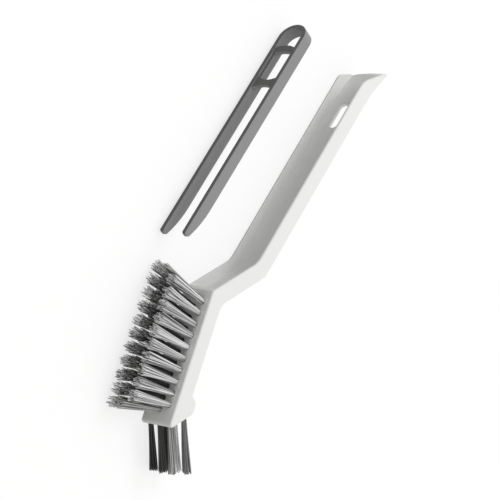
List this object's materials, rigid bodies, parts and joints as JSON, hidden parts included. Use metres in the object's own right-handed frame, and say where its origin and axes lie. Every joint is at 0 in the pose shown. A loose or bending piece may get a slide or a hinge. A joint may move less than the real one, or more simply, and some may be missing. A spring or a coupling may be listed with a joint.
{
  "type": "crevice brush",
  "caption": "Bent hand brush for gaps and corners: channel handle with hanging slot, staggered tufts on the head and its slanted end, and a grey two-pronged clip that stores in the handle.",
  "frame": {"origin": "on the left flank, at mid depth of the handle, where the handle bends into the neck; the brush lies on this flank", "axes": "+Y up the handle towards its hanging tip, +X to the back of the brush (away from the bristles), +Z across the width from the left flank to the right flank"},
  "size_m": [0.0831, 0.2417, 0.019],
  "materials": {
    "body_white": "satin moulded polypropylene",
    "bristle_light": "light grey filament",
    "bristle_dark": "charcoal filament",
    "anchor_metal": "flat drawn wire",
    "clip_grey": "satin moulded plastic"
  },
  "bodies": {
    "brush": {"brush_body": "body_white", "right_tuft_1": "bristle_light", "right_tuft_2": "bristle_light", "right_tuft_3": "bristle_light", "right_tuft_4": "bristle_light", "right_tuft_5": "bristle_light", "right_tuft_6": "bristle_light", "right_tuft_7": "bristle_light", "right_tuft_8": "bristle_light", "right_tuft_9": "bristle_light", "right_tuft_10": "bristle_light", "middle_tuft_1": "bristle_dark", "middle_tuft_2": "bristle_dark", "middle_tuft_3": "bristle_dark", "middle_tuft_4": "bristle_dark", "middle_tuft_5": "bristle_dark", "middle_tuft_6": "bristle_dark", "middle_tuft_7": "bristle_dark", "middle_tuft_8": "bristle_dark", "middle_tuft_9": "bristle_dark", "middle_tuft_10": "bristle_dark", "middle_tuft_11": "bristle_dark", "left_tuft_1": "bristle_light", "left_tuft_2": "bristle_light", "left_tuft_3": "bristle_light", "left_tuft_4": "bristle_light", "left_tuft_5": "bristle_light", "left_tuft_6": "bristle_light", "left_tuft_7": "bristle_light", "left_tuft_8": "bristle_light", "left_tuft_9": "bristle_light", "left_tuft_10": "bristle_light", "left_tuft_11": "bristle_light", "left_end_tuft_1": "bristle_dark", "left_end_tuft_2": "bristle_dark", "middle_end_tuft_1": "bristle_dark", "middle_end_tuft_2": "bristle_light", "right_end_tuft_1": "bristle_dark", "right_end_tuft_2": "bristle_light", "main_anchors": "anchor_metal", "end_anchors": "anchor_metal"},
    "clip": {"clip_frame": "clip_grey"},
    "clip_left_prong": {"left_prong": "clip_grey"},
    "clip_right_prong": {"right_prong": "clip_grey"}
  },
  "joints": [
    {"name": "clip_store", "type": "slide", "parent": "brush", "child": "clip", "axis": [0.9482, 0.3177, 0], "range_m": [0, 0.05099]},
    {"name": "left_prong_squeeze", "type": "hinge", "parent": "clip", "child": "clip_left_prong", "pos_m": [-0.05095, 0.06635, 0.00355], "axis": [-1, 0, 0], "range_deg": [0, 3.7], "stiffness_Nm_per_rad": 0.1},
    {"name": "right_prong_squeeze", "type": "hinge", "parent": "clip", "child": "clip_right_prong", "pos_m": [-0.05095, 0.06635, 0.01545], "axis": [1, 0, 0], "range_deg": [0, 3.7], "stiffness_Nm_per_rad": 0.1}
  ],
  "couplings": [
    {"joint": "right_prong_squeeze", "follows": "left_prong_squeeze", "ratio": 1}
  ]
}
